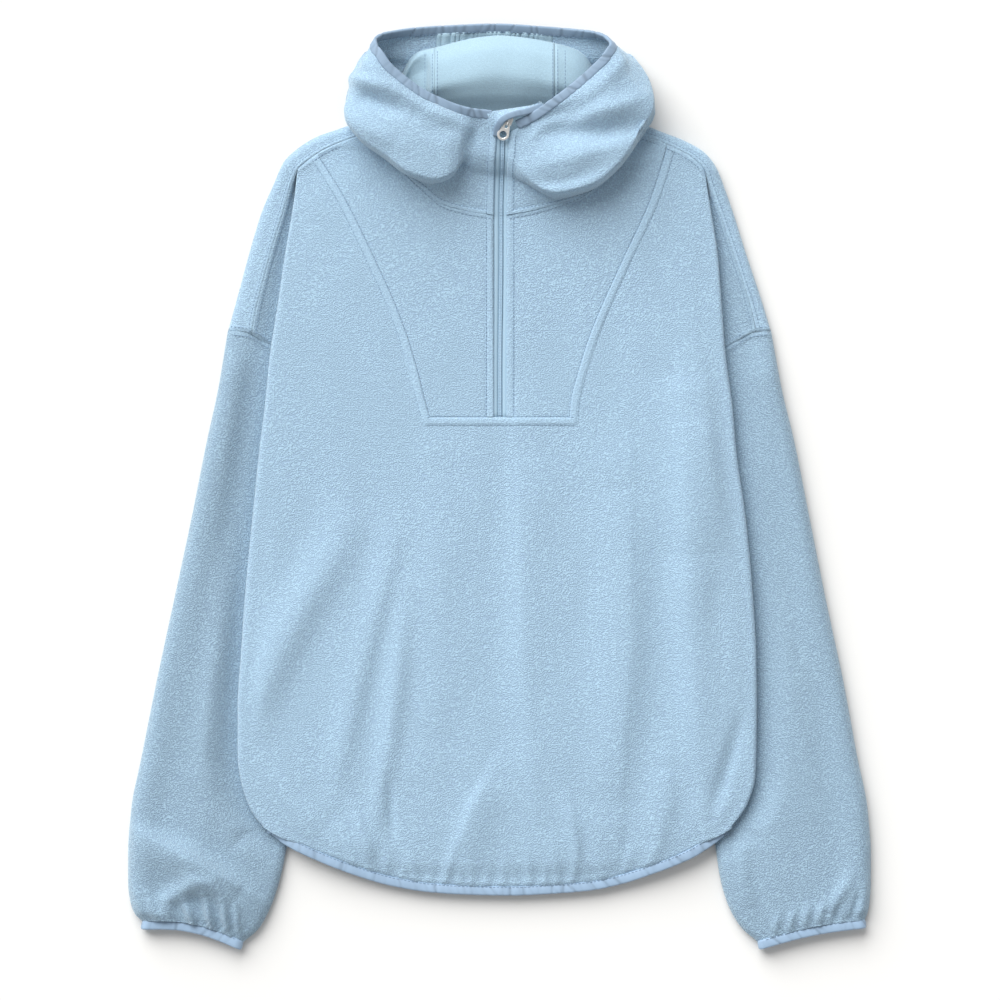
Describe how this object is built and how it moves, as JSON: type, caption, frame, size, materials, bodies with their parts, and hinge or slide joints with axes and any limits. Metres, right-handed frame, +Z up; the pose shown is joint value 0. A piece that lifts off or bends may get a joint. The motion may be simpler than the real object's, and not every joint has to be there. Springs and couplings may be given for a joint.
{
  "type": "fleece pullover",
  "caption": "Oversized soft fleece anorak pullover with a half zip, inset front, laid-down hood, balloon sleeves and stretch-bound edges, laid flat.",
  "frame": {"origin": "centre of the bounding box, on the surface the garment lies on", "axes": "+Y from the hem to the hood, +Z up from the surface, +X to the right of a viewer above"},
  "size_m": [0.6682, 0.835, 0.0548],
  "materials": {
    "fleece": "soft brushed micro-fleece",
    "binding": "smooth stretch jersey",
    "zip_fabric": "woven tape",
    "metal": "polished plated zinc"
  },
  "bodies": {
    "garment": {"back_panel": "fleece", "binding_cuff_left": "binding", "binding_cuff_right": "binding", "binding_guard": "binding", "binding_hem": "binding", "binding_hood": "binding", "front_arm_left": "fleece", "front_arm_right": "fleece", "front_inset_left": "fleece", "front_inset_right": "fleece", "front_panel": "fleece", "hood_crown": "fleece", "hood_fold_centre": "fleece", "hood_fold_left": "fleece", "hood_fold_right": "fleece", "hood_side_left": "fleece", "hood_side_right": "fleece", "sleeve_left": "fleece", "sleeve_right": "fleece", "zip_bridge": "metal", "zip_coil": "zip_fabric", "zip_guard": "fleece", "zip_slider": "metal", "zip_tape_left": "zip_fabric", "zip_tape_right": "zip_fabric"},
    "zip_pull": {"zip_pull": "metal"}
  },
  "joints": [
    {"name": "zip_pull_hinge", "type": "hinge", "parent": "garment", "child": "zip_pull", "pos_m": [0.0069, 0.3238, 0.04681], "axis": [-0.9272, 0.3746, 0], "range_deg": [0, 100]}
  ]
}
